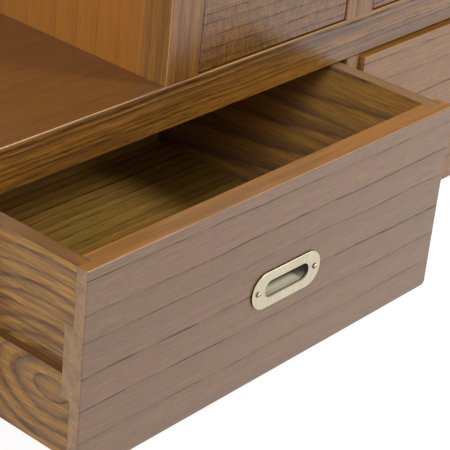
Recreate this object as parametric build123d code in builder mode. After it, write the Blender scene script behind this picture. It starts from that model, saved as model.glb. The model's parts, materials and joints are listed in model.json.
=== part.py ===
# Step chest: a floor-standing cabinet whose decks rise to the right like a flight of stairs,
# with six drawers on wooden side runners and a brass flush pull let into each front.
# Millimetres. X runs along the width, Y from front to back, Z up. The origin lies on the floor
# under the middle of the carcass.
import os
from collections import namedtuple

from build123d import *

os.makedirs("parts", exist_ok=True)

# Carcass
stile_pitch = 246.0  # from one stile's centre to the next
stile_width = 41.0  # seen from the front
stile_depth = 30.0  # from front to back, also of the strips under the decks
base_stile_width = 34.5  # the two stiles beside the base drawers are narrower
chest_depth = 400.0
deck_thickness = 20.0
strip_height = 21.0  # strip that builds up a deck's front edge
wall_thickness = 18.0
partition_thickness = 20.0  # between the two base drawers
base_board_thickness = 12.0
back_thickness = 8.0
back_margin = 2.0  # the back stops short of the carcass outline
housing_depth = 6.0  # the right side is grooved for the ends of the decks
edge_ease = 1.6  # rounding of the long front edges
joint_chamfer = 0.8  # fine V where a wall meets its stile

# Skids under the base
skid_height = 34.0
skid_width = 60.0
skid_bevel = 12.0

# Drawers
front_height = 187.0
front_thickness = 20.0
front_side_gap = 1.2
front_top_gap = 3.0
front_lift = 1.4  # over the deck below, in the upper drawers
front_setback = 1.0  # the upper fronts close behind the carcass face
front_ease = 1.2
front_corner = 5.0  # rounded lower corners of the base drawers, which hang free
upper_front_corner = 2.0
front_clearance = 2.0  # between a closed front and what lies behind it
drawer_back_room = 32.0  # behind a shut drawer
drawer_length = chest_depth - back_thickness - drawer_back_room
side_thickness = 14.0
side_lift = 15.5  # of a side's lower edge, from the bottom of the front
tail_length = 9.0  # each side ends in two tails that are lapped into the front
pin_drop = 53.0  # from the top of the front to the pin it leaves between two tails
pin_height = 65.0
drawer_back_thickness = 14.0
drawer_back_drop = 6.0  # of the back's top edge, from the top of the sides
drawer_back_inset = 12.0  # of the back's rear face, from the ends of the sides
panel_thickness = 6.0
panel_lift = 8.0  # of the bottom panel, from the lower edge of the sides
panel_tongue = 5.0  # how far the panel and the back are let into the sides
fit_gap = 0.2  # each side of a let-in edge

# Runners and the grooves that ride on them
groove_drop = 57.0  # from the top edge of the side to the groove
groove_height = 40.0
groove_depth = 8.0
runner_top_gap = 0.3  # the drawer's weight rests here
runner_height = 38.8
runner_side_gap = 0.8
runner_room = 6.5  # least room for a runner between a side and the carcass

# Flush pulls
pull_length = 90.0
pull_height = 34.5
plate_thickness = 1.6
plate_ease = 0.6
hole_length = 58.0
hole_height = 16.4
lip = 0.8  # the plate stands over the cup's rim
cup_depth = 10.0
cup_wall = 1.2
cup_round = 8.5  # the cup's walls run into its floor in one sweep
pull_drop = 97.4  # from the top of the front to the pull's centre
pocket_gap = 0.5
screw_spacing = 74.8  # two round-head screws hold each pull
screw_head_width = 5.2
screw_head_height = 1.5
screw_head_round = 1.2
screw_head_gap = 0.1  # between the head and the plate
slot_width = 0.8
slot_depth = 0.6
screw_width = 2.8
screw_length = 13.0  # under the head

# Places worked out from the sizes above
stile_x = [stile_pitch * (index - 2) for index in range(5)]
chest_left = stile_x[0] - stile_width / 2
chest_right = stile_x[4] + stile_width / 2
face_y = -chest_depth / 2
frame_y = face_y + stile_depth  # back of the stiles
back_y = chest_depth / 2 - back_thickness
behind_front_y = face_y + front_thickness + front_clearance
edge_height = deck_thickness + strip_height
level_rise = front_lift + front_height + front_top_gap + edge_height
first_deck_top = skid_height + front_height + front_top_gap + edge_height
deck_tops = [first_deck_top + level_rise * index for index in range(4)]
level_left = [stile_x[index] - stile_width / 2 for index in range(4)]
level_floor = [skid_height] + deck_tops[:3]


def finish(piece, name):
    """Label a finished piece and write it."""
    piece.part.label = name
    export_step(piece.part, f"parts/{name}.step")


def board(x_span, y_span, z_span, eased=False):
    """Board between its low and high faces; eased, its lower front edge is rounded."""
    with BuildPart() as piece:
        with BuildSketch(Plane.XY.offset(z_span[0])):
            with Locations((sum(x_span) / 2, sum(y_span) / 2)):
                Rectangle(x_span[1] - x_span[0], y_span[1] - y_span[0])
        extrude(amount=z_span[1] - z_span[0])
        if eased:
            fillet(piece.faces().sort_by(Axis.Y)[0].edges().sort_by(Axis.Z)[0], radius=edge_ease)
    return piece


# Skids: three bearers from front to back, bevelled at both ends
skid_x = [chest_left + skid_width / 2, 0.0, chest_right - skid_width / 2]
with BuildPart() as skids:
    with BuildSketch(Plane.XZ.offset(-behind_front_y)):
        with Locations(*[(x, skid_height / 2) for x in skid_x]):
            Rectangle(skid_width, skid_height)
    extrude(amount=-(back_y - behind_front_y))
    chamfer(skids.faces().sort_by(Axis.Z)[:3].edges().filter_by(Axis.X), length=skid_bevel)
finish(skids, "skids")

# Base board, set behind the base drawers' fronts, which hang down over its edge
wall_face_left = chest_left + wall_thickness
wall_face_right = chest_right - wall_thickness
base_board_top = skid_height + base_board_thickness
base_board = board(
    (wall_face_left, wall_face_right), (frame_y, back_y), (skid_height, base_board_top)
)
finish(base_board, "base_board")

# Decks, each with a strip under its front edge; the lower three are let into the right side
for index, deck_top in enumerate(deck_tops):
    deck_span = (level_left[index], chest_right)
    under_deck = deck_top - deck_thickness
    housed_end = wall_face_right + housing_depth
    with BuildPart() as deck:
        with BuildSketch(Plane.XY.offset(under_deck)):
            with Locations((level_left[index], face_y)):
                Rectangle(chest_right - level_left[index], back_y - face_y, align=Align.MIN)
            if index < 3:
                with Locations((housed_end, frame_y)):
                    Rectangle(
                        chest_right - housed_end, back_y - frame_y, align=Align.MIN, mode=Mode.SUBTRACT
                    )
        extrude(amount=deck_thickness)
        front_edges = deck.faces().sort_by(Axis.Y)[0].edges().filter_by(Axis.X)
        fillet(front_edges.sort_by(Axis.Z)[-1], radius=edge_ease)
    finish(deck, f"deck_{index + 1}")
    strip = board(deck_span, (face_y, frame_y), (deck_top - edge_height, under_deck), eased=True)
    finish(strip, f"deck_strip_{index + 1}")

# Stiles stand between one deck and the strip of the next
stile_heights = [(level_floor[index], deck_tops[index] - edge_height) for index in range(4)]


def stiles(places):
    """Front stiles as separate solids, from (low x, high x, level) places."""
    with BuildPart() as piece:
        for x_low, x_high, level in places:
            z_low, z_high = stile_heights[level]
            with BuildSketch(Plane.XY.offset(z_low)):
                with Locations((x_low, face_y)):
                    Rectangle(x_high - x_low, stile_depth, align=Align.MIN)
            extrude(amount=z_high - z_low)
        fillet(piece.edges().filter_by(Axis.Z).group_by(Axis.Y)[0], radius=edge_ease)
    return piece


upper_levels = (1, 2, 3)
base_places = [
    (chest_left, chest_left + base_stile_width, 0),
    (chest_right - base_stile_width, chest_right, 0),
]
step_places = [(level_left[level], level_left[level] + stile_width, level) for level in upper_levels]
right_places = [(chest_right - stile_width, chest_right, level) for level in upper_levels]
middle_places = [(-stile_width / 2, stile_width / 2, 1)]
finish(stiles(base_places), "base_stiles")
finish(stiles(step_places), "step_stiles")
finish(stiles(right_places), "right_stiles")
finish(stiles(middle_places), "middle_stile")

# Walls under the left end of each deck, flush with the stiles, with a fine V at the joint
for level, left in enumerate(level_left):
    with BuildPart() as wall:
        with BuildSketch(Plane.XY.offset(level_floor[level])):
            with Locations((left, frame_y)):
                Rectangle(wall_thickness, back_y - frame_y, align=Align.MIN)
        extrude(amount=deck_tops[level] - deck_thickness - level_floor[level])
        outer_edges = wall.faces().sort_by(Axis.X)[0].edges()
        chamfer(outer_edges.filter_by(Axis.Z).sort_by(Axis.Y)[0], length=joint_chamfer)
    finish(wall, f"left_wall_{level + 1}")

# Right side: one tall board, grooved across for the ends of the lower three decks
with BuildPart() as right_side:
    with BuildSketch(Plane.XY.offset(skid_height)):
        with Locations((wall_face_right, frame_y)):
            Rectangle(wall_thickness, back_y - frame_y, align=Align.MIN)
    extrude(amount=deck_tops[3] - deck_thickness - skid_height)
    for deck_top in deck_tops[:3]:
        with BuildSketch(Plane.XY.offset(deck_top - deck_thickness)):
            with Locations((wall_face_right, frame_y)):
                Rectangle(housing_depth, back_y - frame_y, align=Align.MIN)
        extrude(amount=deck_thickness, mode=Mode.SUBTRACT)
    outer_edges = right_side.faces().sort_by(Axis.X)[-1].edges()
    chamfer(outer_edges.filter_by(Axis.Z).sort_by(Axis.Y)[0], length=joint_chamfer)
finish(right_side, "right_side")

# Partition between the base drawers, notched under the deck strip and over the base board
with BuildPart() as base_partition:
    with BuildSketch(Plane.YZ.offset(-partition_thickness / 2)):
        with BuildLine():
            Polyline(
                (face_y, skid_height),
                (frame_y, skid_height),
                (frame_y, base_board_top),
                (back_y, base_board_top),
                (back_y, deck_tops[0] - deck_thickness),
                (frame_y, deck_tops[0] - deck_thickness),
                (frame_y, deck_tops[0] - edge_height),
                (face_y, deck_tops[0] - edge_height),
                close=True,
            )
        make_face()
    extrude(amount=partition_thickness)
    fillet(base_partition.faces().sort_by(Axis.Y)[0].edges().filter_by(Axis.Z), radius=edge_ease)
finish(base_partition, "base_partition")

# Partition behind the middle stile of the second level
middle_partition = board(
    (-wall_thickness / 2, wall_thickness / 2),
    (frame_y, back_y),
    (deck_tops[0], deck_tops[1] - deck_thickness),
)
finish(middle_partition, "middle_partition")

# Back: one stepped sheet over the rear edges of the carcass
stepped_outline = [(chest_right - back_margin, skid_height + back_margin)]
stepped_outline.append((chest_right - back_margin, deck_tops[3] - back_margin))
for level in (3, 2, 1, 0):
    step_x = level_left[level] + back_margin
    stepped_outline.append((step_x, deck_tops[level] - back_margin))
    if level:
        stepped_outline.append((step_x, deck_tops[level - 1] - back_margin))
stepped_outline.append((chest_left + back_margin, skid_height + back_margin))
with BuildPart() as back_panel:
    with BuildSketch(Plane.XZ.offset(-back_y)):
        with BuildLine():
            Polyline(*stepped_outline, close=True)
        make_face()
    extrude(amount=-back_thickness)
finish(back_panel, "back_panel")

# Drawer bays: the opening between stiles, the carcass faces that carry the runners, how far the
# drawer stands open, and how far its pull sits to the right of the middle of the front
Bay = namedtuple("Bay", "name level opening walls drawn_out pull_shift")
half_stile = stile_width / 2
half_partition = partition_thickness / 2
half_wall = wall_thickness / 2
base_left_opening = (chest_left + base_stile_width, -half_partition)
base_right_opening = (half_partition, chest_right - base_stile_width)
narrow_opening = (stile_x[1] + half_stile, stile_x[2] - half_stile)
wide_opening = (stile_x[2] + half_stile, stile_x[4] - half_stile)
top_opening = (stile_x[3] + half_stile, stile_x[4] - half_stile)
bays = [
    Bay("base_left", 0, base_left_opening, (wall_face_left, -half_partition), 123.0, 9.0),
    Bay("base_right", 0, base_right_opening, (half_partition, wall_face_right), 5.0, 0.0),
    Bay("second_narrow", 1, narrow_opening, (level_left[1] + wall_thickness, -half_wall), 0.0, 0.0),
    Bay("second_wide", 1, wide_opening, (half_wall, wall_face_right), 0.0, 0.0),
    Bay("third", 2, wide_opening, (level_left[2] + wall_thickness, wall_face_right), 0.0, 0.0),
    Bay("top", 3, top_opening, (level_left[3] + wall_thickness, wall_face_right), 0.0, 0.0),
]


def closed_y(bay):
    """Face of the front when the drawer is shut."""
    return face_y + (front_setback if bay.level else 0.0)


def front_bottom(bay):
    """Lower edge of the front."""
    return level_floor[bay.level] + (front_lift if bay.level else 0.0)


def front_span(bay):
    """Left and right ends of the front."""
    return (bay.opening[0] + front_side_gap, bay.opening[1] - front_side_gap)


def side_span(bay):
    """Outer faces of the two sides: flush with the front's ends where a runner has room beside them."""
    left, right = front_span(bay)
    return (max(left, bay.walls[0] + runner_room), min(right, bay.walls[1] - runner_room))


def side_heights(bay):
    """Lower and upper edges of the sides."""
    return (front_bottom(bay) + side_lift, front_bottom(bay) + front_height)


# Runners: a hardwood bearer on each side of every bay, from the stiles to the back, standing out from
# its wall into the drawer's groove
with BuildPart() as runners:
    for bay in bays:
        runner_top = side_heights(bay)[1] - groove_drop - runner_top_gap
        reach = groove_depth - runner_side_gap
        side_left, side_right = side_span(bay)
        for low_x, high_x in ((bay.walls[0], side_left + reach), (side_right - reach, bay.walls[1])):
            with BuildSketch(Plane.YZ.offset(low_x)):
                with Locations((frame_y, runner_top - runner_height)):
                    Rectangle(back_y - frame_y, runner_height, align=Align.MIN)
            extrude(amount=high_x - low_x)
finish(runners, "runners")


def pull_plane(bay):
    """Plane of the front's face, centred on its pull and looking out of the chest."""
    left, right = front_span(bay)
    centre_x = (left + right) / 2 + bay.pull_shift
    centre_z = front_bottom(bay) + front_height - pull_drop
    centre = (centre_x, closed_y(bay) - bay.drawn_out, centre_z)
    return Plane(origin=centre, x_dir=(1, 0, 0), z_dir=(0, -1, 0))


def panel_heights(bay):
    """Underside and top of the drawer's bottom panel."""
    underside = side_heights(bay)[0] + panel_lift
    return (underside, underside + panel_thickness)


def pin_heights(bay):
    """Lower and upper faces of the pin at each end of the front."""
    upper = front_bottom(bay) + front_height - pin_drop
    return (upper - pin_height, upper)


screw_places = [(-screw_spacing / 2, 0.0), (screw_spacing / 2, 0.0)]  # from the pull's centre


def drawer_front(bay):
    """Front board: rounded lower corners, eased face, a pocket for the pull's cup, holes for its screws,
    sockets for the tails of the sides and a groove along the back for the bottom panel."""
    left, right = front_span(bay)
    face = closed_y(bay) - bay.drawn_out
    panel_low, panel_high = panel_heights(bay)
    side_left, side_right = side_span(bay)
    groove_inset = side_thickness - panel_tongue - fit_gap
    pocket_growth = lip + cup_wall + pocket_gap
    pin_low, pin_high = pin_heights(bay)
    socket_x = (side_left + side_thickness / 2, side_right - side_thickness / 2)
    socket_width = side_thickness + 2 * fit_gap
    socket_low = side_heights(bay)[0] - fit_gap
    with BuildPart() as piece:
        with BuildSketch(Plane.XZ.offset(-face)) as outline:
            with Locations((left, front_bottom(bay))):
                Rectangle(right - left, front_height, align=Align.MIN)
            lower_corners = outline.vertices().group_by(Axis.Y)[0]
            fillet(lower_corners, radius=upper_front_corner if bay.level else front_corner)
        extrude(amount=-front_thickness)
        fillet(piece.faces().sort_by(Axis.Y)[0].edges(), radius=front_ease)
        with BuildSketch(pull_plane(bay)):
            SlotOverall(hole_length + 2 * pocket_growth, hole_height + 2 * pocket_growth)
        extrude(amount=-(cup_depth + cup_wall + pocket_gap), mode=Mode.SUBTRACT)
        with BuildSketch(pull_plane(bay)):
            with Locations(*screw_places):
                Circle(screw_width / 2 + fit_gap)
        extrude(amount=-screw_length, mode=Mode.SUBTRACT)
        with BuildSketch(Plane.XZ.offset(-(face + front_thickness))):
            for centre_x in socket_x:
                with Locations((centre_x, pin_high)):
                    Rectangle(socket_width, pin_drop, align=(Align.CENTER, Align.MIN))
                with Locations((centre_x, pin_low)):
                    Rectangle(socket_width, pin_low - socket_low, align=(Align.CENTER, Align.MAX))
        extrude(amount=tail_length + fit_gap, mode=Mode.SUBTRACT)
        with BuildSketch(Plane.XZ.offset(-(face + front_thickness))):
            with Locations((side_left + groove_inset, panel_low - fit_gap)):
                Rectangle(
                    side_right - side_left - 2 * groove_inset,
                    panel_high - panel_low + 2 * fit_gap,
                    align=Align.MIN,
                )
        extrude(amount=panel_tongue + fit_gap, mode=Mode.SUBTRACT)
    return piece


def drawer_side(bay, hand):
    """Side board (hand -1 left, 1 right) with two tails at the front, the runner groove outside, and
    inside the grooves for the bottom panel and the back."""
    outer_x = side_span(bay)[0 if hand < 0 else 1]
    inner_x = outer_x - hand * side_thickness
    start_y = closed_y(bay) - bay.drawn_out + front_thickness
    end_y = start_y - front_thickness + drawer_length
    low_z, high_z = side_heights(bay)
    panel_low, panel_high = panel_heights(bay)
    back_start, back_end = back_span(bay)
    tail_y = start_y - tail_length
    pin_low, pin_high = pin_heights(bay)
    groove_low = high_z - groove_drop - groove_height
    with BuildPart() as piece:
        with BuildSketch(Plane.YZ.offset(min(outer_x, inner_x))):
            with Locations((tail_y, low_z)):
                Rectangle(end_y - tail_y, high_z - low_z, align=Align.MIN)
            with Locations((tail_y, pin_low - fit_gap)):
                Rectangle(
                    tail_length, pin_high - pin_low + 2 * fit_gap, align=Align.MIN, mode=Mode.SUBTRACT
                )
        extrude(amount=side_thickness)
        with BuildSketch(Plane.YZ.offset(outer_x)):
            with Locations((start_y, groove_low)):
                Rectangle(end_y - start_y, groove_height, align=Align.MIN)
        extrude(amount=-hand * groove_depth, mode=Mode.SUBTRACT)
        with BuildSketch(Plane.YZ.offset(inner_x)):
            with Locations((tail_y, panel_low - fit_gap)):
                Rectangle(end_y - tail_y, panel_high - panel_low + 2 * fit_gap, align=Align.MIN)
            with Locations((back_start - fit_gap, panel_high)):
                Rectangle(back_end - back_start + 2 * fit_gap, high_z - panel_high, align=Align.MIN)
        extrude(amount=hand * (panel_tongue + fit_gap), mode=Mode.SUBTRACT)
    return piece


def back_span(bay):
    """Front and rear faces of the drawer's back."""
    rear = closed_y(bay) - bay.drawn_out + drawer_length - drawer_back_inset
    return (rear - drawer_back_thickness, rear)


def let_in_span(bay):
    """Ends of what is let into the two sides."""
    left, right = side_span(bay)
    return (left + side_thickness - panel_tongue, right - side_thickness + panel_tongue)


def drawer_back(bay):
    """Back board, housed in the sides and standing on the bottom panel."""
    top = side_heights(bay)[1] - drawer_back_drop
    return board(let_in_span(bay), back_span(bay), (panel_heights(bay)[1], top))


def drawer_bottom(bay):
    """Bottom panel, slid in from the rear under the back."""
    start = closed_y(bay) - bay.drawn_out + front_thickness - panel_tongue
    return board(let_in_span(bay), (start, back_span(bay)[1]), panel_heights(bay))


def flush_pull(bay):
    """Brass flush pull: a round-ended plate on the face with a dished cup let into the front, and the
    two slotted screws that hold it."""
    face = pull_plane(bay)
    head_seat = face.offset(plate_thickness + screw_head_gap)
    dish_length = hole_length + 2 * lip
    dish_height = hole_height + 2 * lip
    with BuildPart() as dish:
        with BuildSketch(face):
            SlotOverall(dish_length, dish_height)
        extrude(amount=-cup_depth)
        fillet(dish.faces().sort_by(Axis.Y)[-1].edges(), radius=cup_round)
    with BuildPart() as piece:
        with BuildSketch(face):
            SlotOverall(pull_length, pull_height)
        extrude(amount=plate_thickness)
        fillet(piece.faces().sort_by(Axis.Y)[0].edges(), radius=plate_ease)
        with BuildSketch(face):
            SlotOverall(dish_length + 2 * cup_wall, dish_height + 2 * cup_wall)
        extrude(amount=-(cup_depth + cup_wall))
        fillet(piece.faces().sort_by(Axis.Y)[-1].edges(), radius=cup_round + cup_wall)
        with BuildSketch(face.offset(plate_thickness)):
            SlotOverall(hole_length, hole_height)
            with Locations(*screw_places):
                Circle(screw_width / 2 + fit_gap)
        extrude(amount=-plate_thickness, mode=Mode.SUBTRACT)
        add(dish.part, mode=Mode.SUBTRACT)
        with BuildSketch(head_seat):
            with Locations(*screw_places):
                Circle(screw_head_width / 2)
        extrude(amount=screw_head_height)
        fillet(piece.faces().sort_by(Axis.Y)[:2].edges(), radius=screw_head_round)
        with BuildSketch(head_seat.offset(screw_head_height)):
            with Locations(*screw_places):
                Rectangle(screw_head_width, slot_width)
        extrude(amount=-slot_depth, mode=Mode.SUBTRACT)
        with BuildSketch(head_seat):
            with Locations(*screw_places):
                Circle(screw_width / 2)
        extrude(amount=-screw_length)
    return piece


for bay in bays:
    finish(drawer_front(bay), f"{bay.name}_drawer_front")
    finish(drawer_side(bay, -1), f"{bay.name}_drawer_left_side")
    finish(drawer_side(bay, 1), f"{bay.name}_drawer_right_side")
    finish(drawer_back(bay), f"{bay.name}_drawer_back")
    finish(drawer_bottom(bay), f"{bay.name}_drawer_bottom")
    finish(flush_pull(bay), f"{bay.name}_drawer_pull")
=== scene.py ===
import json
import math
import random

import bpy
from mathutils import Matrix, Vector

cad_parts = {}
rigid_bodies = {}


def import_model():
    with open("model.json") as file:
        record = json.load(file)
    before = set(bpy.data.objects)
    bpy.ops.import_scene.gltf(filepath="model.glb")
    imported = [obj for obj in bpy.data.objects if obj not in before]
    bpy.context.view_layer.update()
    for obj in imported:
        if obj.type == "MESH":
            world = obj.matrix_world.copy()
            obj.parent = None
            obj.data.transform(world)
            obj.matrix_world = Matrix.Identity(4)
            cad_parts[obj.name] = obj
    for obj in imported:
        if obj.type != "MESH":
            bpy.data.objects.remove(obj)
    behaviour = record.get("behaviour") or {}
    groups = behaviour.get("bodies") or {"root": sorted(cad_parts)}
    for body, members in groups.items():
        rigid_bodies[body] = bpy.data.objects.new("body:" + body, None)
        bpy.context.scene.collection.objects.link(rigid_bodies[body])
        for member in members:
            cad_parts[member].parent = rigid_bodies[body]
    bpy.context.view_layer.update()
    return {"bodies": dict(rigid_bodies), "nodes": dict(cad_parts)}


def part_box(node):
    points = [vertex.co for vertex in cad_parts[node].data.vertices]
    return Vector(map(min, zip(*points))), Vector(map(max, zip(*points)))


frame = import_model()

# Skids: three bearers from front to back, planed, left bare and screwed up into the base board. Like
# all of the chest they are a fast-grown hardwood, whose wide growth rings end in thin dark lines. Left
# bare it looks pale, dry and matt.
MM = 0.001


def linear(colour):
    """Linear RGBA from an sRGB hex colour."""
    channels = [int(colour[i:i + 2], 16) / 255 for i in (1, 3, 5)]
    return [c / 12.92 if c <= 0.04045 else ((c + 0.055) / 1.055) ** 2.4 for c in channels] + [1.0]


def add_node(tree, kind, inputs=None, **settings):
    """Add a node with its settings; an input takes a value, a socket or a node's first output."""
    node = tree.nodes.new(kind)
    for name, value in settings.items():
        setattr(node, name, value)
    for socket, source in (inputs or {}).items():
        if isinstance(source, bpy.types.Node):
            source = source.outputs[0]
        if isinstance(source, bpy.types.NodeSocket):
            tree.links.new(source, node.inputs[socket])
        else:
            node.inputs[socket].default_value = source
    return node


def new_tree(owner):
    """Emptied node tree of a material or a world."""
    owner.use_nodes = True
    owner.node_tree.nodes.clear()
    return owner.node_tree


# How a board is turned to lay its grain along an axis, and the sockets of a node that mixes colours
GRAIN_TURN = {"X": (0.0, 0.0, 0.0), "Y": (0.0, 0.0, math.pi / 2), "Z": (0.0, -math.pi / 2, 0.0)}
FACTOR, FIRST, SECOND, MIXED = 0, 6, 7, 2
# Noises drawn out along the fibres: length and width of their grains in mm, detail and roughness.
# Fibres, pores and rays are far finer in life and are drawn coarser so that they show.
GRAIN_PATTERNS = {
    "wander": (190.0, 60.0, 2.0, 0.5),
    "ripple": (30.0, 9.0, 2.0, 0.5),
    "line_breaks": (35.0, 10.0, 4.0, 0.65),
    "fibres": (34.0, 1.2, 3.0, 0.62),
    "streaks": (240.0, 8.0, 3.0, 0.55),
    "pores": (11.0, 0.8, 1.0, 0.5),
    "rays": (1.8, 9.0, 2.0, 0.5),
    "wear_and_highlight": (140.0, 50.0, 3.0, 0.5),
}


def fibre_noises(tree, board, names):
    """Noises of these names, laid along a board."""
    noises = {}
    for name in names:
        length_mm, width_mm, detail, roughness = GRAIN_PATTERNS[name]
        scale = [1 / (size * MM) for size in (length_mm, width_mm, width_mm)]
        spread = add_node(tree, "ShaderNodeMapping", {"Vector": board, "Scale": scale})
        noises[name] = add_node(tree, "ShaderNodeTexNoise", {
            "Vector": spread, "Scale": 1.0, "Detail": detail, "Roughness": roughness})
    return noises


def growth_ring_cycle(tree, log, noises, ring_mm, wander_mm):
    """Way through each growth ring from 0 to 1, by the distance from a pith that wanders a little."""
    ripple_mm = 0.16 * wander_mm
    uneven_rings = 1.3
    across = add_node(tree, "ShaderNodeVectorMath", {0: log, 1: (0.0, 1.0, 1.0)}, operation="MULTIPLY")
    radius = add_node(tree, "ShaderNodeVectorMath", {0: across}, operation="LENGTH").outputs["Value"]
    wavy = add_node(tree, "ShaderNodeMath", {0: noises["wander"], 1: wander_mm * MM, 2: radius},
                    operation="MULTIPLY_ADD")
    wavy = add_node(tree, "ShaderNodeMath", {0: noises["ripple"], 1: ripple_mm * MM, 2: wavy},
                    operation="MULTIPLY_ADD")
    rings = add_node(tree, "ShaderNodeMath", {0: wavy, 1: ring_mm * MM}, operation="DIVIDE")
    spread = add_node(tree, "ShaderNodeTexNoise", {"W": rings, "Scale": 0.9, "Detail": 1.0},
                      noise_dimensions="1D")
    count = add_node(tree, "ShaderNodeMath", {0: spread, 1: uneven_rings, 2: rings},
                     operation="MULTIPLY_ADD")
    return add_node(tree, "ShaderNodeMath", {0: count}, operation="FRACT")


def ring_lines(tree, cycle, noises, line, line_share):
    """Thin dark line where one ring ends and the next begins, which fades here and there."""
    start = add_node(tree, "ShaderNodeMapRange", {"Value": cycle, "From Min": 1 - 0.5 * line_share})
    end = add_node(tree, "ShaderNodeMapRange", {
        "Value": cycle, "From Min": 0.5 * line_share, "From Max": line_share,
        "To Min": 1.0, "To Max": 0.0})
    whole = add_node(tree, "ShaderNodeMath", {0: start, 1: end}, operation="MAXIMUM")
    strength = add_node(tree, "ShaderNodeMapRange", {
        "Value": noises["line_breaks"], "From Min": 0.36, "From Max": 0.6,
        "To Min": 0.2 * line, "To Max": line})
    return add_node(tree, "ShaderNodeMath", {0: whole, 1: strength}, operation="MULTIPLY")


def lacquered_surface(tree, colour, fibres, pores, bare, roughness, coat):
    """Shader of wood with raised fibres and open pores under lacquer, except where it is bare."""
    pore_depth, lacquer_shine = 0.6, 0.5
    relief = add_node(tree, "ShaderNodeMath", {0: pores, 1: -pore_depth, 2: fibres},
                      operation="MULTIPLY_ADD")
    bump = add_node(tree, "ShaderNodeBump", {"Height": relief, "Strength": 0.2, "Distance": 0.4 * MM})
    sheen = add_node(tree, "ShaderNodeMapRange", {
        "Value": fibres, "To Min": roughness - 0.06, "To Max": roughness + 0.08})
    filled = add_node(tree, "ShaderNodeMath", {0: 1.0, 1: bare}, operation="SUBTRACT")
    gloss = {"Specular IOR Level": add_node(tree, "ShaderNodeMath", {0: filled, 1: lacquer_shine},
                                            operation="MULTIPLY")}
    if coat:
        gloss["Coat Weight"] = add_node(tree, "ShaderNodeMath", {0: filled, 1: coat},
                                        operation="MULTIPLY")
    return add_node(tree, "ShaderNodeBsdfPrincipled", {
        "Base Color": colour, "Roughness": sheen, "Normal": bump, "IOR": 1.5,
        "Coat Roughness": 0.6 * roughness, **gloss})


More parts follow.
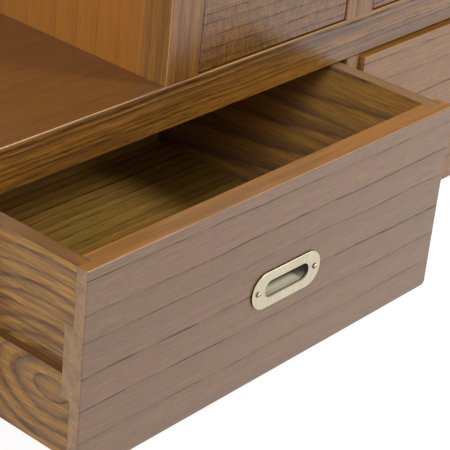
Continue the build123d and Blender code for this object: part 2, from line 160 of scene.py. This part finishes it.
def wood(name, grain, pith, tints, tilt=(0.0, 0.0, 0.0), ring_mm=20.0, line=0.75, line_mm=1.0,
         wander_mm=8.0, figure=1.0, flecks=0.0, roughness=0.42, coat=0.5, face_tints=None,
         face_streaks=0.22, edge_wear_highlight=None):
    """Sawn hardwood as a solid texture: growth rings round a pith, fibres along the grain and pores.

    The pith is a point in metres and the tilt, in degrees, turns the log against the board, which
    draws arches on a face. The tints are hex colours of early wood, late wood and the ring lines.
    Flecks are short rays across the grain. The lacquer is a clear satin coat that doesn't fill the
    lines. Face tints colour the faces that look along an axis, which took the stain in another way and
    show so much of the broad streaks; a face tint can also be a painted sheen. The edge wear highlight
    colours rounded edges that are rubbed thin, and is partly a painted highlight along them.
    """
    early, late, dark = (linear(tint) for tint in tints)
    material = bpy.data.materials.new(name)
    tree = new_tree(material)
    coords = add_node(tree, "ShaderNodeTexCoord").outputs["Object"]
    turn = GRAIN_TURN[grain]
    log_turn = [a + math.radians(b) for a, b in zip(turn, tilt)]
    log = add_node(tree, "ShaderNodeMapping", {"Vector": coords, "Location": pith, "Rotation": log_turn},
                   vector_type="TEXTURE")
    board = add_node(tree, "ShaderNodeMapping", {"Vector": coords, "Location": pith, "Rotation": turn},
                     vector_type="TEXTURE")
    # Not every board shows rays, or rubbed edges with a painted highlight
    missing = {"rays": not flecks, "wear_and_highlight": edge_wear_highlight is None}
    noises = fibre_noises(tree, board, [key for key in GRAIN_PATTERNS if not missing.get(key)])
    # Each ring goes from early to late wood and ends in a thin line that fades here and there
    cycle = growth_ring_cycle(tree, log, noises, ring_mm, wander_mm)
    late_share = add_node(tree, "ShaderNodeMapRange", {"Value": cycle, "From Min": 0.5},
                          interpolation_type="SMOOTHSTEP")
    colour = add_node(tree, "ShaderNodeMix", {FACTOR: late_share, FIRST: early, SECOND: late},
                      data_type="RGBA").outputs[MIXED]
    lines = ring_lines(tree, cycle, noises, line, line_mm / ring_mm)
    # Streaks of late wood, lighter and darker fibres, pores and rays
    streaks = add_node(tree, "ShaderNodeMapRange", {
        "Value": noises["streaks"], "From Min": 0.42, "From Max": 0.66, "To Max": 0.8})
    colour = add_node(tree, "ShaderNodeMix", {FACTOR: streaks, FIRST: colour, SECOND: late},
                      data_type="RGBA").outputs[MIXED]
    contrast = 0.42 * figure
    tone = add_node(tree, "ShaderNodeMapRange", {
        "Value": noises["fibres"], "From Min": 0.25, "From Max": 0.75,
        "To Min": 1 - contrast, "To Max": 1 + contrast})
    colour = add_node(tree, "ShaderNodeMix", {FACTOR: 1.0, FIRST: colour, SECOND: tone},
                      data_type="RGBA", blend_type="MULTIPLY").outputs[MIXED]
    pores = add_node(tree, "ShaderNodeMapRange", {
        "Value": noises["pores"], "From Min": 0.6, "From Max": 0.72})
    if flecks:
        rays = add_node(tree, "ShaderNodeMapRange", {
            "Value": noises["rays"], "From Min": 0.3, "From Max": 0.7,
            "To Min": 1 - flecks, "To Max": 1 + flecks})
        colour = add_node(tree, "ShaderNodeMix", {FACTOR: 1.0, FIRST: colour, SECOND: rays},
                          data_type="RGBA", blend_type="MULTIPLY").outputs[MIXED]
    # Faces with a tint of their own, where lines and pores are fainter
    face_fibres, face_calm = 0.6, 0.85
    normal = add_node(tree, "ShaderNodeNewGeometry").outputs["Normal"]
    facing = add_node(tree, "ShaderNodeSeparateXYZ", {0: normal}).outputs
    for axis, tint in (face_tints or {}).items():
        square_on = add_node(tree, "ShaderNodeMath", {0: facing[axis]}, operation="ABSOLUTE")
        toward = add_node(tree, "ShaderNodeMapRange", {
            "Value": square_on, "From Min": 0.6, "From Max": 0.9})
        face = add_node(tree, "ShaderNodeMix", {FACTOR: face_fibres, FIRST: linear(tint), SECOND: tone},
                        data_type="RGBA", blend_type="MULTIPLY").outputs[MIXED]
        shade = add_node(tree, "ShaderNodeMath", {0: streaks, 1: face_streaks}, operation="MULTIPLY")
        face = add_node(tree, "ShaderNodeMix", {FACTOR: shade, FIRST: face, SECOND: dark},
                        data_type="RGBA").outputs[MIXED]
        colour = add_node(tree, "ShaderNodeMix", {FACTOR: toward, FIRST: colour, SECOND: face},
                          data_type="RGBA").outputs[MIXED]
        calm = add_node(tree, "ShaderNodeMath", {0: toward, 1: -face_calm, 2: 1.0},
                        operation="MULTIPLY_ADD")
        lines = add_node(tree, "ShaderNodeMath", {0: lines, 1: calm}, operation="MULTIPLY")
        pores = add_node(tree, "ShaderNodeMath", {0: pores, 1: calm}, operation="MULTIPLY")
    pore_shade = add_node(tree, "ShaderNodeMath", {0: pores, 1: 0.4 * figure}, operation="MULTIPLY")
    for shade in (pore_shade, lines):
        colour = add_node(tree, "ShaderNodeMix", {FACTOR: shade, FIRST: colour, SECOND: dark},
                          data_type="RGBA").outputs[MIXED]
    # Rounded edges along the grain, unevenly rubbed, which have lost most of the lacquer. Their pale tint
    # is partly wear and partly a painted highlight, which on boards with the grain along X lies only on
    # the upper edges
    bare = lines
    if edge_wear_highlight is not None:
        rubbed_bare = 0.8
        forward = add_node(tree, "ShaderNodeMath", {0: facing["Y"]}, operation="ABSOLUTE")
        beside = facing["Z"]
        if grain != "X":
            beside = add_node(tree, "ShaderNodeMath", {0: facing["X"]}, operation="ABSOLUTE")
        turned = add_node(tree, "ShaderNodeMath", {0: forward, 1: beside}, operation="MULTIPLY")
        rubbed_lit_edge = add_node(tree, "ShaderNodeMapRange", {
            "Value": turned, "From Min": 0.46, "From Max": 0.495})
        wear_and_highlight = add_node(tree, "ShaderNodeMapRange", {
            "Value": noises["wear_and_highlight"], "From Min": 0.38, "From Max": 0.58, "To Min": 0.2})
        worn_and_highlit = add_node(tree, "ShaderNodeMath", {0: rubbed_lit_edge, 1: wear_and_highlight}, operation="MULTIPLY")
        colour = add_node(tree, "ShaderNodeMix", {FACTOR: worn_and_highlit, FIRST: colour, SECOND: linear(edge_wear_highlight)},
                          data_type="RGBA").outputs[MIXED]
        edge_bare = add_node(tree, "ShaderNodeMath", {0: rubbed_lit_edge, 1: rubbed_bare}, operation="MULTIPLY")
        bare = add_node(tree, "ShaderNodeMath", {0: lines, 1: edge_bare}, operation="MAXIMUM")
    surface = lacquered_surface(tree, colour, noises["fibres"], pores, bare, roughness, coat)
    add_node(tree, "ShaderNodeOutputMaterial", {"Surface": surface})
    return material


def dress(node, material):
    """Give a carried-over piece its finish."""
    mesh = frame["nodes"][node].data
    mesh.materials.clear()
    mesh.materials.append(material)


draw = random.Random(11)
LOG_SPREAD = 0.03


def log_beside(node, away):
    """Point on a pith that lies away from the middle of a board, a little different each time."""
    low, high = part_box(node)
    jitter = Vector([draw.uniform(-LOG_SPREAD, LOG_SPREAD) for axis in range(3)])
    return (low + high) / 2 + Vector(away) + jitter


BARE_WOOD = ("#8f6f4b", "#7b5a38", "#4a3220")
dress("skids", wood("bare_hardwood_skids", "Y", log_beside("skids", away=(0.0, 0.0, -0.12)), BARE_WOOD,
                    roughness=0.6, coat=0.0))

# Base board and back: wide boards of the same stock. The base board is glued between the walls, the
# stepped back is pinned to the rear edges. Both are out of sight in use, so they are stained once and
# only sealed, which leaves them an even, dull brown.
HIDDEN_STAIN = ("#7a5228", "#684320", "#3a2412")
dress("base_board", wood("stained_base_board", "X", log_beside("base_board", away=(0.0, 0.1, -0.3)),
                         HIDDEN_STAIN, roughness=0.55, coat=0.2))
dress("back_panel", wood("stained_back_sheet", "Z", log_beside("back_panel", away=(0.2, 0.35, 0.0)),
                         HIDDEN_STAIN, ring_mm=24.0, roughness=0.55, coat=0.2))

# Decks, the treads of the steps, and the strips glued under their front edges: solid boards with the
# grain along the chest, stained walnut brown and lacquered. The treads are even and mirror a little,
# the edges show crowded dark ring lines, and the arrises are rubbed pale and carry a painted highlight.
EDGE_STAIN = ("#8a5b1c", "#543212", "#1c0e06")
TREAD, TREAD_EDGE = "#704510", "#c09a60"
DECK_FINISH = dict(ring_mm=7.0, line=0.7, line_mm=0.9, figure=1.5, roughness=0.34, coat=0.65)
for level in (1, 2, 3, 4):
    deck, strip = f"deck_{level}", f"deck_strip_{level}"
    dress(deck, wood(f"lacquered_{deck}", "X", log_beside(deck, away=(0.0, 0.05, -0.4)), EDGE_STAIN,
                     face_tints={"Z": TREAD}, edge_wear_highlight=TREAD_EDGE, **DECK_FINISH))
    dress(strip, wood(f"lacquered_{strip}", "X", log_beside(strip, away=(0.0, 0.03, -0.1)), EDGE_STAIN,
                      **DECK_FINISH))

# Stiles, and the partition that stands between the base drawers like one: squared posts with upright
# grain, pegged and glued between the decks, with the same stain. Their smoother lacquer mirrors what
# stands near, and the arrises are rubbed pale and carry a painted highlight.
STILE_STAIN = ("#845519", "#6c4213", "#342010")
STILE_SIDE, STILE_EDGE = "#946224", "#c0a070"
for node in ("base_stiles", "step_stiles", "right_stiles", "middle_stile", "base_partition"):
    dress(node, wood(f"lacquered_{node}", "Z", log_beside(node, away=(0.07, 0.2, 0.0)), STILE_STAIN,
                     ring_mm=12.0, line=0.5, roughness=0.26, face_tints={"X": STILE_SIDE},
                     face_streaks=0.6, edge_wear_highlight=STILE_EDGE))

# Walls, right side and upper partition: boards glued edge to edge with upright grain, flush with the
# stiles. The lower decks are let into the right side. Calm grain under a thin coat makes them the
# warmest and most even faces of the chest.
WALL_STAIN = ("#a8691e", "#a0631b", "#5a340f")
for node in ("left_wall_1", "left_wall_2", "left_wall_3", "left_wall_4", "right_side",
             "middle_partition"):
    dress(node, wood(f"lacquered_{node}", "Z", log_beside(node, away=(0.3, 0.1, 0.0)), WALL_STAIN,
                     ring_mm=16.0, line=0.25, wander_mm=6.0, figure=0.5, coat=0.3))

# Runners: bare hardwood bearers screwed to the walls and partitions, one at each side of a drawer. The
# drawers have polished them, so they shine a little more than the skids.
dress("runners", wood("bare_hardwood_runners", "Y", log_beside("runners", away=(0.05, 0.0, -0.2)),
                      BARE_WOOD, roughness=0.5, coat=0.0))

# Drawers: sides, backs and bottoms are let into each other and glued, the sides lapped into the front.
# The fronts are stained like the carcass and lacquered, with long dark ring lines under a satin gloss.
# The boxes have a light stain and hardly any coat, so they are golden and matt.
DRAWERS = [body for body in frame["bodies"] if body != "carcass"]
BASE_FRONT_STAIN = ("#78532f", "#6d4a2a", "#2c1a14")
WARM_FRONT_STAIN = ("#8c5f30", "#80552a", "#2c1a14")
UPPER_FRONT_STAIN = ("#7a4e14", "#663f10", "#2c1a0e")
UPPER_FRONT = dict(tints=UPPER_FRONT_STAIN, ring_mm=11.0, flecks=0.45, roughness=0.26, coat=0.6)
BASE_FRONTS = {
    "base_left_drawer": dict(tints=BASE_FRONT_STAIN, ring_mm=28.0, flecks=0.04, coat=0.9),
    "base_right_drawer": dict(tints=WARM_FRONT_STAIN, ring_mm=28.0, flecks=0.04, coat=0.7),
}
SIDE_STAIN = ("#a67838", "#74543a", "#46302a")
INNER_STAIN = ("#b88e42", "#94702e", "#422c14")
FRONT_TOP, FRONT_END, FRONT_EDGE = "#a06b28", "#987040", "#ac8e6e"
# The right side's top edge is painted lighter than the left's: a painted sheen of light glancing off it
LEFT_SIDE_TOP, RIGHT_SIDE_TOP_SHEEN = "#7a5226", "#8f6d47"
KNOT_MM = (0.0, 20.0, 54.0)  # the knot's eye in a left side, from its lower front corner
for drawer in DRAWERS:
    front, back, bottom = f"{drawer}_front", f"{drawer}_back", f"{drawer}_bottom"
    left_side, right_side = f"{drawer}_left_side", f"{drawer}_right_side"
    # A front's rounded upper edges are rubbed and carry a painted highlight
    dress(front, wood(f"lacquered_{front}", "X", log_beside(front, away=(0.0, 0.08, -0.3)),
                      tilt=(0.0, 0.6, 0.0), line_mm=1.2, wander_mm=10.0, edge_wear_highlight=FRONT_EDGE,
                      face_tints={"Z": FRONT_TOP, "X": FRONT_END}, face_streaks=0.5,
                      **BASE_FRONTS.get(drawer, UPPER_FRONT)))
    # The left side shows a knot's eye near the front, the right one is straight
    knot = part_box(left_side)[0] + Vector(KNOT_MM) * MM
    dress(left_side, wood(f"lacquered_{left_side}", "Y", knot, SIDE_STAIN, tilt=(0.0, 0.0, -36.0),
                          ring_mm=12.5, line=0.6, line_mm=3.0, wander_mm=11.0, figure=1.5, coat=0.0,
                          face_tints={"Z": LEFT_SIDE_TOP}, face_streaks=0.5))
    dress(right_side, wood(f"lacquered_{right_side}", "Y", log_beside(right_side, away=(0.1, 0.0, 0.25)),
                           SIDE_STAIN, tilt=(0.0, 8.0, 0.0), ring_mm=26.0, line=0.4, line_mm=4.0,
                           wander_mm=14.0, coat=0.0, face_tints={"Z": RIGHT_SIDE_TOP_SHEEN},
                           face_streaks=0.4))
    dress(back, wood(f"lacquered_{back}", "X", log_beside(back, away=(0.0, 0.2, -0.1)), INNER_STAIN,
                     coat=0.1))
    dress(bottom, wood(f"lacquered_{bottom}", "X", log_beside(bottom, away=(0.0, 0.4, -0.12)),
                       INNER_STAIN, ring_mm=12.0, line=0.85, line_mm=1.6, coat=0.1))

# Flush pulls: a plate of pale brass, brushed upright and lacquered, with a pressed cup behind it that is
# left matt, held by two round-head screws. Brushing spreads the highlights on the plate. The seam under
# its lip is a dark joint with painted shade in its crevice, and the top of the cup and the plate's rim
# are darkened with painted shade.
PLATE_BRIGHT, PLATE_DULL, CUP, SEAM_AND_SHADE, RIM_SHADE = "#dcd2ba", "#c4b8a0", "#c8bda2", "#2e2818", "#4a3418"
HEAD_MM, PLATE_MM = 1.6, 1.6  # how far the screws' heads and the plate stand in front of the wood
HOLE_MM = (29.5, 8.7)  # reach of the hole from its middle, sideways and up
SEAM_MM = 0.9  # middle and half width of the seam, behind the face of the wood
UNSHADED_MM, FULL_SHADE_MM = -9.5, -3.5  # heights over the middle where the painted shade on the cup starts and where it is full
STROKE_MM = (1.4, 1.4, 26.0)  # brush strokes, drawn wider than real ones so that they show
EDGE_ON = 0.5  # how little a face that counts as an edge of the plate looks forward


def flush_pull_brass(name, face, middle):
    """Brass of a pull: brushed on the plate and matt in the hole and the cup.

    The face of the wood is a place along Y and the middle of the pull a point.
    """
    material = bpy.data.materials.new(name)
    tree = new_tree(material)
    coords = add_node(tree, "ShaderNodeTexCoord").outputs["Object"]
    spot = add_node(tree, "ShaderNodeSeparateXYZ", {0: coords}).outputs
    normal = add_node(tree, "ShaderNodeNewGeometry").outputs["Normal"]
    forward = add_node(tree, "ShaderNodeSeparateXYZ", {0: normal}).outputs["Y"]
    # The plate's outer rim, and the wall of its hole together with all that lies behind the wood's face.
    # COMPARE gives 1 where the first number is within the third of the second.
    edge = add_node(tree, "ShaderNodeMath", {0: forward, 1: 0.0, 2: EDGE_ON}, operation="COMPARE")
    sideways = add_node(tree, "ShaderNodeMath", {0: spot["X"], 1: middle.x, 2: HOLE_MM[0] * MM},
                        operation="COMPARE")
    upward = add_node(tree, "ShaderNodeMath", {0: spot["Z"], 1: middle.z, 2: HOLE_MM[1] * MM},
                      operation="COMPARE")
    hole = add_node(tree, "ShaderNodeMath", {0: sideways, 1: upward}, operation="MULTIPLY")
    hole_wall = add_node(tree, "ShaderNodeMath", {0: edge, 1: hole}, operation="MULTIPLY")
    rim_shade = add_node(tree, "ShaderNodeMath", {0: edge, 1: hole_wall}, operation="SUBTRACT")
    behind = add_node(tree, "ShaderNodeMath", {0: spot["Y"], 1: face}, operation="GREATER_THAN")
    inside = add_node(tree, "ShaderNodeMath", {0: behind, 1: hole_wall}, operation="MAXIMUM")
    # Plate and screws: upright brush strokes
    scale = [1 / (size * MM) for size in STROKE_MM]
    spread = add_node(tree, "ShaderNodeMapping", {"Vector": coords, "Scale": scale})
    strokes = add_node(tree, "ShaderNodeTexNoise", {"Vector": spread, "Scale": 1.0, "Detail": 3.0})
    shine = add_node(tree, "ShaderNodeMapRange", {"Value": strokes, "From Min": 0.3, "From Max": 0.7})
    colour = add_node(tree, "ShaderNodeMix", {
        FACTOR: shine, FIRST: linear(PLATE_DULL), SECOND: linear(PLATE_BRIGHT)},
        data_type="RGBA").outputs[MIXED]
    # The plate's outer rim is painted dark, a painted shade on its edge
    colour = add_node(tree, "ShaderNodeMix", {FACTOR: rim_shade, FIRST: colour, SECOND: linear(RIM_SHADE)},
                      data_type="RGBA").outputs[MIXED]
    roughness = add_node(tree, "ShaderNodeMapRange", {"Value": strokes, "To Min": 0.34, "To Max": 0.48})
    bump = add_node(tree, "ShaderNodeBump", {"Height": strokes, "Strength": 0.12, "Distance": 0.2 * MM})
    plate = add_node(tree, "ShaderNodeBsdfPrincipled", {
        "Base Color": colour, "Roughness": roughness, "Normal": bump, "Metallic": 1.0})
    # Cup: painted shade darkens it towards its top, under the plate's upper lip, and the dark seam where
    # it meets the plate holds painted shade too
    lip_shade = add_node(tree, "ShaderNodeMapRange", {
        "Value": spot["Z"], "From Min": middle.z + UNSHADED_MM * MM, "From Max": middle.z + FULL_SHADE_MM * MM,
        "To Max": 0.95})
    # A dark joint between plate and cup, painted darker as shade in the crevice under the lip
    seam_shade = add_node(tree, "ShaderNodeMath", {0: spot["Y"], 1: face + SEAM_MM * MM, 2: SEAM_MM * MM},
                    operation="COMPARE")
    darkness = add_node(tree, "ShaderNodeMath", {0: lip_shade, 1: seam_shade}, operation="MAXIMUM")
    cup_colour = add_node(tree, "ShaderNodeMix", {
        FACTOR: darkness, FIRST: linear(CUP), SECOND: linear(SEAM_AND_SHADE)}, data_type="RGBA").outputs[MIXED]
    cup = add_node(tree, "ShaderNodeBsdfPrincipled", {
        "Base Color": cup_colour, "Metallic": 0.3, "Roughness": 0.6})
    brass = add_node(tree, "ShaderNodeMixShader", {0: inside, 1: plate, 2: cup})
    add_node(tree, "ShaderNodeOutputMaterial", {"Surface": brass})
    return material


for drawer in DRAWERS:
    pull = f"{drawer}_pull"
    low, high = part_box(pull)
    wood_face = low.y + (HEAD_MM + PLATE_MM) * MM
    dress(pull, flush_pull_brass(f"brushed_brass_{pull}", wood_face, (low + high) / 2))

# Studio: a matt white floor that meets a white surround, so that the chest stands on white with its own
# soft shadow. A softbox at the right of the front reaches into the open drawer, and a wider one at the
# left lights the sides.
FLOOR_PAINT, WHITE = "#bcbcbc", "#ffffff"
FLOOR_SIZE = 12.0
FLOOR_SEEN, FLOOR_MIRRORED = 0.8, 0.5  # glow that makes the floor white to the camera and in reflections
SURROUND_LIGHT = 0.4  # strength of the surround as a light, where 1 is white


def background_rays(tree):
    """Whether the camera looks at a place, and whether a shiny or clear surface does."""
    path = add_node(tree, "ShaderNodeLightPath").outputs
    mirrored = add_node(tree, "ShaderNodeMath", {0: path["Is Glossy Ray"], 1: path["Is Transmission Ray"]},
                        operation="MAXIMUM")
    return path["Is Camera Ray"], mirrored


floor_mesh = bpy.data.meshes.new("studio_floor")
half = FLOOR_SIZE / 2
floor_mesh.from_pydata([(-half, -half, 0), (half, -half, 0), (half, half, 0), (-half, half, 0)], [],
                       [(0, 1, 2, 3)])
floor = bpy.data.objects.new("studio_floor", floor_mesh)
bpy.context.scene.collection.objects.link(floor)
floor_paint = bpy.data.materials.new("matt_white_floor")
tree = new_tree(floor_paint)
seen, mirrored = background_rays(tree)
mirrored_glow = add_node(tree, "ShaderNodeMath", {0: mirrored, 1: FLOOR_MIRRORED}, operation="MULTIPLY")
strength = add_node(tree, "ShaderNodeMath", {0: seen, 1: FLOOR_SEEN, 2: mirrored_glow},
                    operation="MULTIPLY_ADD")
matt = add_node(tree, "ShaderNodeBsdfDiffuse", {"Color": linear(FLOOR_PAINT)})
glow = add_node(tree, "ShaderNodeEmission", {"Color": linear(WHITE), "Strength": strength})
both = add_node(tree, "ShaderNodeAddShader", {0: matt, 1: glow})
add_node(tree, "ShaderNodeOutputMaterial", {"Surface": both})
floor_mesh.materials.append(floor_paint)

world = bpy.data.worlds.new("white_studio")
bpy.context.scene.world = world
tree = new_tree(world)
seen, mirrored = background_rays(tree)
either = add_node(tree, "ShaderNodeMath", {0: seen, 1: mirrored}, operation="MAXIMUM")
strength = add_node(tree, "ShaderNodeMapRange", {"Value": either, "To Min": SURROUND_LIGHT})
surround = add_node(tree, "ShaderNodeBackground", {"Color": linear(WHITE), "Strength": strength})
add_node(tree, "ShaderNodeOutputWorld", {"Surface": surround})


def soft_lamp(name, place, aim, size, power):
    """Square softbox turned towards a point."""
    lamp = bpy.data.lights.new(name, "AREA")
    lamp.size = size
    lamp.energy = power
    holder = bpy.data.objects.new(name, lamp)
    bpy.context.scene.collection.objects.link(holder)
    holder.location = place
    holder.rotation_euler = (Vector(aim) - Vector(place)).to_track_quat("-Z", "Y").to_euler()


soft_lamp("right_softbox", place=(0.85, -1.75, 1.6), aim=(-0.2, -0.2, 0.15), size=0.4, power=34.0)
soft_lamp("left_softbox", place=(-2.6, -0.9, 1.5), aim=(-0.2, -0.2, 0.2), size=0.8, power=33.0)

# Camera: stands where the photograph was taken from, in front, to the left and above, with a long lens
# and a slight roll. Place and lens were fitted to the edges of the base.
AZIMUTH, ELEVATION, ROLL = -51.54, 28.21, 5.86
CAMERA_PLACE = (-1.2751, -1.0784, 0.8584)
SENSOR_MM, LENS_MM = 36.0, 140.5
lens = bpy.data.cameras.new("photo_camera")
lens.sensor_width = SENSOR_MM
lens.lens = LENS_MM
camera = bpy.data.objects.new("photo_camera", lens)
bpy.context.scene.collection.objects.link(camera)
turn = (Matrix.Rotation(math.radians(AZIMUTH), 4, "Z")
        @ Matrix.Rotation(math.radians(90 - ELEVATION), 4, "X")
        @ Matrix.Rotation(math.radians(ROLL), 4, "Z"))
camera.matrix_world = Matrix.Translation(CAMERA_PLACE) @ turn
bpy.context.scene.camera = camera
bpy.context.scene.view_settings.view_transform = "Standard"
